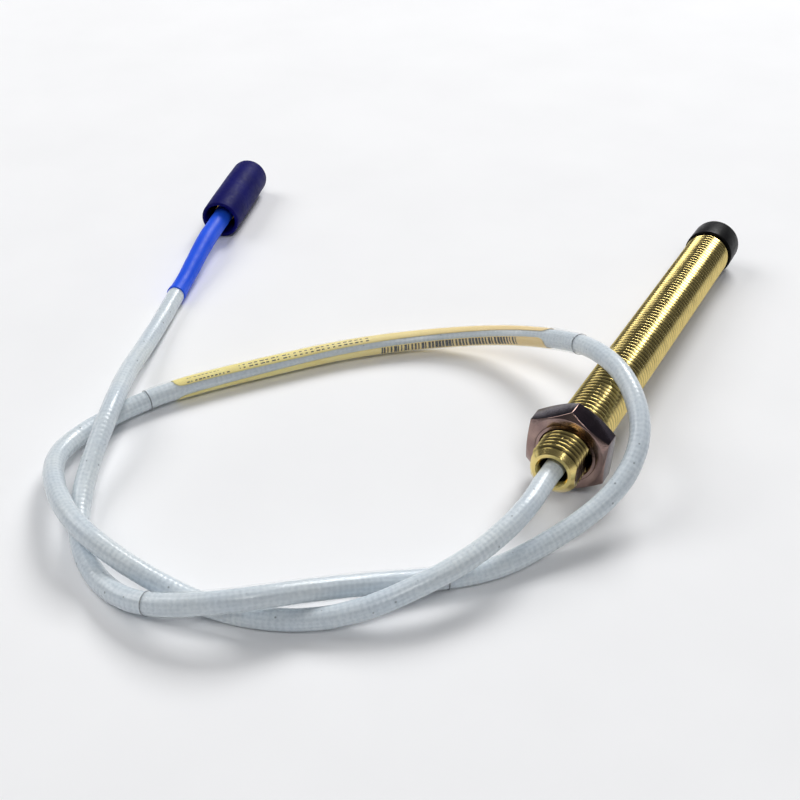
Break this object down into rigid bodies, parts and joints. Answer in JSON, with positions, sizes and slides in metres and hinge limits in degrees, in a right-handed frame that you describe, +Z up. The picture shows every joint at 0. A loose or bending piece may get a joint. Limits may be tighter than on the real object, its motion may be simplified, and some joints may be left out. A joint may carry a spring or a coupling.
{
  "type": "proximity probe with cable",
  "caption": "Threaded eddy-current proximity probe with hexagonal jam nut, tip cap, fixed braided cable with a label, and a capped miniature coaxial connector.",
  "frame": {"origin": "on the surface the probe lies on, under the middle of the probe's length", "axes": "+X along the probe from its cable end towards its sensing tip, +Z up, +Y towards the side where the cable loops lie"},
  "size_m": [0.1511, 0.1284, 0.0173],
  "materials": {
    "case_metal": "rolled and turned thread, gold toned, bright",
    "nut_steel": "turned and milled, bright",
    "braid_steel": "drawn wire",
    "gold_plate": "gold plated, turned",
    "copper_wire": "enamelled copper",
    "tip_plastic": "moulded polyphenylene sulfide",
    "white_insulator": "fluoropolymer",
    "potting_resin": "cast epoxy",
    "black_vinyl": "dipped vinyl, soft",
    "cable_jacket": "woven braid under a clear fluoropolymer jacket",
    "clear_sleeve": "clear shrink sleeve",
    "label_film": "printed film",
    "blue_sleeve": "shrink sleeve",
    "navy_rubber": "moulded, satin"
  },
  "bodies": {
    "probe": {"probe_case": "case_metal", "sensing_tip": "tip_plastic", "coil_former": "white_insulator", "sensing_coil": "copper_wire", "potting_plug": "potting_resin", "crimp_ferrule": "nut_steel", "cable_in_case": "cable_jacket", "shield_braid_end": "braid_steel", "dielectric_end": "white_insulator", "core_wire_end": "copper_wire", "cable": "cable_jacket", "label_wrap": "label_film", "label_sleeve": "clear_sleeve", "tag_sleeve": "clear_sleeve", "coax_tail": "white_insulator", "connector_boot": "blue_sleeve", "plug_ferrule": "gold_plate", "plug_body": "gold_plate", "plug_snap_ring": "braid_steel", "plug_insulator": "white_insulator", "plug_pin": "gold_plate"},
    "nut_carrier": {"jam_nut_thread": "nut_steel"},
    "nut": {"jam_nut": "nut_steel"},
    "tip_cap": {"tip_cap": "black_vinyl"},
    "coupling_nut": {"plug_coupling_nut": "gold_plate"},
    "plug_cap": {"plug_cap": "navy_rubber"}
  },
  "joints": [
    {"name": "nut_travel", "type": "slide", "parent": "probe", "child": "nut_carrier", "axis": [0.9993, 0, -0.0363], "range_m": [-0.00529, 0.00423]},
    {"name": "nut_turn", "type": "hinge", "parent": "nut_carrier", "child": "nut", "pos_m": [-0.0421, 0, 0.00839], "axis": [0.9993, 0, -0.0363], "range_deg": [-1800, 1440]},
    {"name": "tip_cap_pull", "type": "slide", "parent": "probe", "child": "tip_cap", "axis": [0.9993, 0, -0.0363], "range_m": [0, 0.01]},
    {"name": "coupling_nut_turn", "type": "hinge", "parent": "probe", "child": "coupling_nut", "pos_m": [0.01531, 0.10764, 0.00445], "axis": [0.9588, 0.284, 0], "continuous": true},
    {"name": "plug_cap_pull", "type": "slide", "parent": "probe", "child": "plug_cap", "axis": [0.9588, 0.284, 0], "range_m": [0, 0.03]}
  ],
  "couplings": [
    {"joint": "nut_travel", "follows": "nut_turn", "m_per_rad": 0.00016844}
  ]
}
